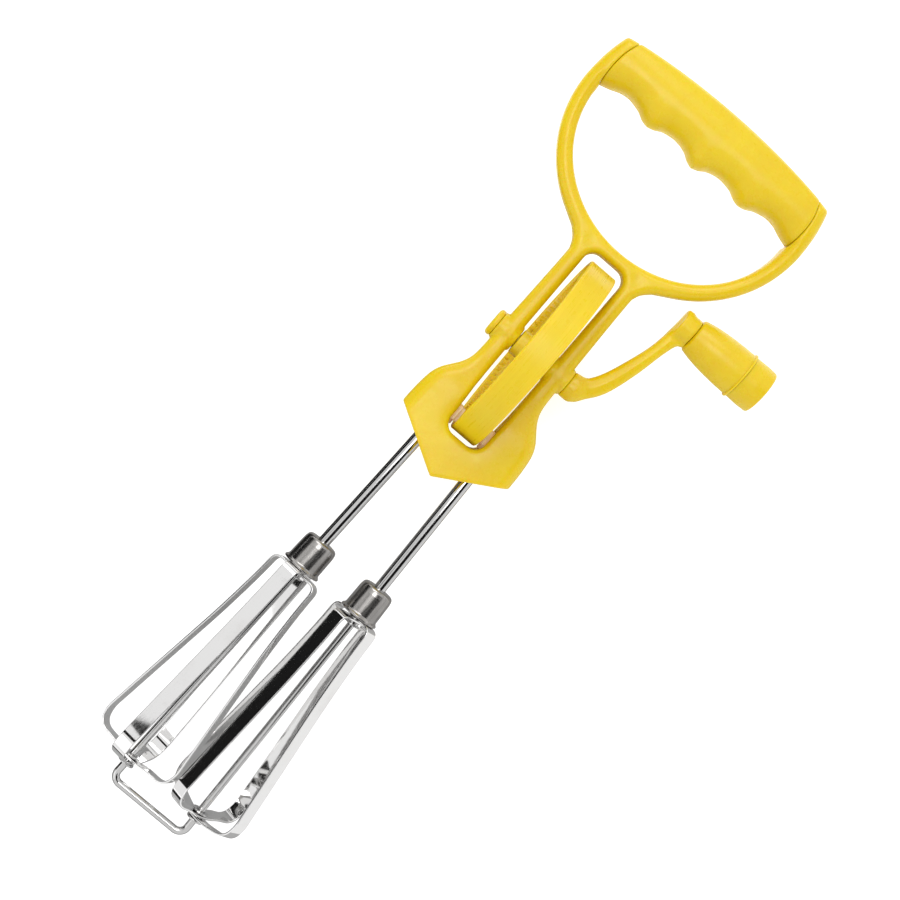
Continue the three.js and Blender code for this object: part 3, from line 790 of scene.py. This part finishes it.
def natural_nylon():
    """Uncoloured nylon: waxy, and lit through at its thin teeth, with a faint painted glow that brightens
    it in the shade inside the housing.
    """
    # The emission is painted light: a faint peach glow that lifts the pinions out of the shade inside the
    # housing.
    look = Look(
        "natural_nylon", IOR=1.53, Subsurface_Weight=0.6, Subsurface_Radius=(1.0, 0.7, 0.5),
        Subsurface_Scale=0.004, Emission_Color=(1.0, 0.62, 0.34, 1), Emission_Strength=0.13,
    )
    cloud = look.between(look.noise(3, detail=4), 0.3, 0.7)
    base = look.mixed(cloud, (1.0, 0.80, 0.55, 1), (0.97, 0.73, 0.46, 1))
    gloss = look.between(look.noise(1.0, detail=4), 0.3, 0.7, 0.38, 0.5)
    return look.send(Base_Color=base, Roughness=gloss, Normal=look.bump(look.noise(0.6), 0.008))


def polished_steel(name, wave, grain, rough=(0.03, 0.07), shade=1.0):
    """Bright steel: fine lines along the grain, slight waves in its reflections and faint water marks."""
    look = Look(name, Metallic=1.0)
    lines = look.noise(0.3, grain, 2, 0.6)
    marks = look.between(look.noise(9, detail=5, rough=0.65), 0.5, 0.78)
    clean, marked = (tuple(shade * v for v in tone) for tone in ((0.86, 0.855, 0.85), (0.81, 0.80, 0.79)))
    base = look.mixed(marks, (*clean, 1), (*marked, 1))
    gloss = look.between(lines, 0.3, 0.75, *rough)
    gloss = look.maths("ADD", gloss, look.maths("MULTIPLY", marks, 0.03))
    normal = look.bump(look.noise(wave, detail=1), 0.02)
    normal = look.bump(lines, 0.0004, normal)
    return look.send(Base_Color=base, Roughness=gloss, Normal=normal)


def satin_steel():
    """Drawn steel with a satin finish: a fine grain round the cup and darker marks down its side."""
    look = Look("satin_steel", Metallic=1.0)
    grain = look.noise(0.35, (1, 25, 1), 3, 0.7)
    cloud = look.between(look.noise(2.6, (1, 5, 1), 4, 0.6), 0.35, 0.7)
    base = look.mixed(cloud, (0.42, 0.405, 0.39, 1), (0.29, 0.28, 0.27, 1))
    gloss = look.between(grain, 0.3, 0.7, 0.17, 0.27)
    normal = look.bump(look.noise(1.2, (1, 4, 1), 3), 0.012)
    return look.send(Base_Color=base, Roughness=gloss, Normal=look.bump(grain, 0.003, normal))


# ---- The pieces ----------------------------------------------------------------------------------


def build_plastic():
    yellow = yellow_plastic("yellow_plastic")
    moulding = surface(frame_field, (-50, -57, -11), (50, 110, 11), 0.5)
    piece("frame_surface", moulding, "frame", yellow, weighted=False)
    for name, side in (("grip_front", 1), ("grip_back", -1)):
        low, high = sorted((side * -0.6, side * 10.2))
        half = surface(grip_field(side), (-45.6, 83, low), (45.6, 110, high), 0.42)
        piece(name + "_surface", half, "frame", yellow, weighted=False)
    ribbed = yellow_plastic("yellow_wheel_plastic", streaks=(1, 60, 60))
    piece("drive_wheel_surface", drive_wheel(), "drive", ribbed)
    crank = surface(crank_field, (-18.2, -6.5, -6.6), (39.3, 48.2, 6.6), 0.36)
    piece("crank_arm_surface", crank, "drive", yellow, weighted=False)
    piece("hub_cap_surface", hub_cap(), "drive", yellow)
    piece("knob_surface", knob(), "knob", yellow, KNOB_PLACE)
    piece("knob_cap_surface", knob_cap(), "knob", yellow, KNOB_PLACE)


def build_steel():
    satin = satin_steel()
    blade = polished_steel("blade_steel", 30, (1, 60, 1))
    wire = polished_steel("wire_steel", 40, (1, 60, 1), (0.05, 0.11), 0.72)
    nylon = natural_nylon()
    piece("knob_pin_surface", knob_pin(), "drive", satin, KNOB_PLACE)
    piece("guard_wire_surface", guard_wire(), "frame", wire)
    for name, side in (("left", -1), ("right", 1)):
        body, place = name + "_beater", beater_matrix(side)
        piece(name + "_pinion_surface", pinion(), body, nylon, place)
        piece(name + "_tube_surface", tube(), body, wire, place)
        piece(name + "_ferrule_surface", ferrule(), body, satin, place)
        piece(name + "_eyelet_surface", eyelet(), body, wire, place)
        for letter, turn, inset in (("a", -90, 0), ("b", 0, STRIP["thickness"] + STRIP["gap"])):
            at = place @ Matrix.Rotation(math.radians(AZIMUTHS[name] + turn), 4, "Y")
            strip_name = f"{name}_blade_{letter}_surface"
            strip = piece(strip_name, blade_loop(inset), body, blade, at)
            punch_holes(strip, side)


# ---- Stage ---------------------------------------------------------------------------------------

AIM = Vector((-0.06, -44.26, 0))  # the point of the tool in the middle of the view
DISTANCE = 591.5
SIDEWAYS = math.radians(-3.09)  # the camera stands a little to the tool's left
UPWARDS = math.radians(0.55)
LEAN = math.radians(49.6)  # the tool's long axis above the view's horizontal
LENS = 67.7
DROP = 0.0002  # the floor is this far under the part
WORLD = 0.90  # the brightness of the white studio round the tool


def tool_point(x, y, z):
    return TOOL @ (Vector((x, y, z)) * MM)


def make_camera():
    data = bpy.data.cameras.new("camera")
    data.lens, data.sensor_width = LENS, 36
    data.clip_start, data.clip_end = 0.05, 20
    camera = new_object("camera", data)
    level = math.cos(UPWARDS)
    back = Vector((math.sin(SIDEWAYS) * level, math.sin(UPWARDS), math.cos(SIDEWAYS) * level))
    # The view's right and up directions as the tool's axes, before the view line is made square to them.
    right = Vector((math.sin(LEAN), math.cos(LEAN), 0))
    up = back.cross(right).normalized()
    right = up.cross(back)
    turn = TOOL.to_3x3() @ Matrix((right, up, back)).transposed()
    camera.matrix_world = Matrix.Translation(tool_point(*(AIM + back * DISTANCE))) @ turn.to_4x4()
    bpy.context.scene.camera = camera


def aimed(obj, where, aim, axis):
    """Puts an object in its place, with one of its axes towards a point."""
    obj.location = where
    obj.rotation_mode = "QUATERNION"
    obj.rotation_quaternion = (Vector(aim) - Vector(where)).to_track_quat(axis, "Y")


def area_light(name, where, aim, size, power):
    """A white studio light of (x, y) metres."""
    data = bpy.data.lights.new(name, "AREA")
    data.shape, data.size, data.size_y = "RECTANGLE", *size
    data.energy = power
    aimed(new_object(name, data), where, aim, "-Z")


def flat_sheet(name, size, shade, glow):
    """A sheet of (x, y) metres, facing +Z, that isn't part of the object."""
    mesh = bpy.data.meshes.new(name)
    x, y = size[0] / 2, size[1] / 2
    mesh.from_pydata([(-x, -y, 0), (x, -y, 0), (x, y, 0), (-x, y, 0)], [], [(0, 1, 2, 3)])
    sheet = new_object(name, mesh)
    look = bpy.data.materials.new(name)
    look.use_nodes = True
    shader = look.node_tree.nodes["Principled BSDF"]
    shader.inputs["Base Color"].default_value = (shade, shade, shade, 1)
    shader.inputs["Roughness"].default_value = 0.9
    shader.inputs["Specular IOR Level"].default_value = 0.0
    shader.inputs["Emission Color"].default_value = (1, 1, 1, 1)
    shader.inputs["Emission Strength"].default_value = glow
    sheet.data.materials.append(look)
    return sheet


def make_floor():
    """A white light table: it glows a little, so that only the closest shadows show."""
    floor = flat_sheet("floor", (6, 6), 0.60, 0.64)
    floor.location.z = -DROP


def card(name, where, aim, size, shade, glow=0.0):
    """A studio card that shows only as a reflection."""
    sheet = flat_sheet(name, size, shade, glow)
    aimed(sheet, where, aim, "Z")
    sheet.visible_camera = sheet.visible_diffuse = sheet.visible_shadow = False
    sheet.visible_transmission = sheet.visible_volume_scatter = False


def make_light():
    world = bpy.data.worlds.new("studio")
    world.use_nodes = True
    background = world.node_tree.nodes["Background"]
    background.inputs["Color"].default_value = (1, 1, 1, 1)
    background.inputs["Strength"].default_value = WORLD
    bpy.context.scene.world = world
    aim = tool_point(0, 0, 0)
    area_light("key", (-0.35, 0.75, 1.0), aim, (0.8, 0.5), 3.6)
    area_light("front", (-0.03, 0.05, 0.95), aim, (0.40, 0.40), 1.6)
    # Black flags beside, above and below the beaters, and a white card under the lowest one.
    black, beaters = 0.01, (0, -0.12, 0.02)
    card("flag_left", (-0.75, 0.10, 0.25), (0, 0.10, 0.10), (1.0, 0.50), black)
    card("flag_above", (0.60, -0.12, 1.15), beaters, (0.72, 1.2), black)
    card("flag_below", (-0.54, -0.285, 0.75), beaters, (0.084, 0.45), black)
    card("glow_below", (-0.50, -0.75, 0.62), beaters, (0.55, 0.60), 1.0, 0.12)
    # Sheets on the floor round the beaters, from black on the left to light grey on the right. They show
    # only in reflections, in place of the white floor; the grey middle sheet is painted shade, the floor
    # under the beaters reflected as if in their shadow.
    for name, x, drop, size, shade in (
        ("sheet_left", -0.30, 0.5 * DROP, (0.48, 0.50), black),
        ("sheet_middle", 0.0, 0.4 * DROP, (0.12, 0.50), 0.40),
        ("sheet_right", 0.36, 0.5 * DROP, (0.60, 0.60), 0.80),
    ):
        card(name, (x, -0.15, -drop), (x, -0.15, 1), size, shade)
    bpy.context.scene.view_settings.view_transform = "Standard"


build_plastic()
build_steel()
make_floor()
make_light()
make_camera()
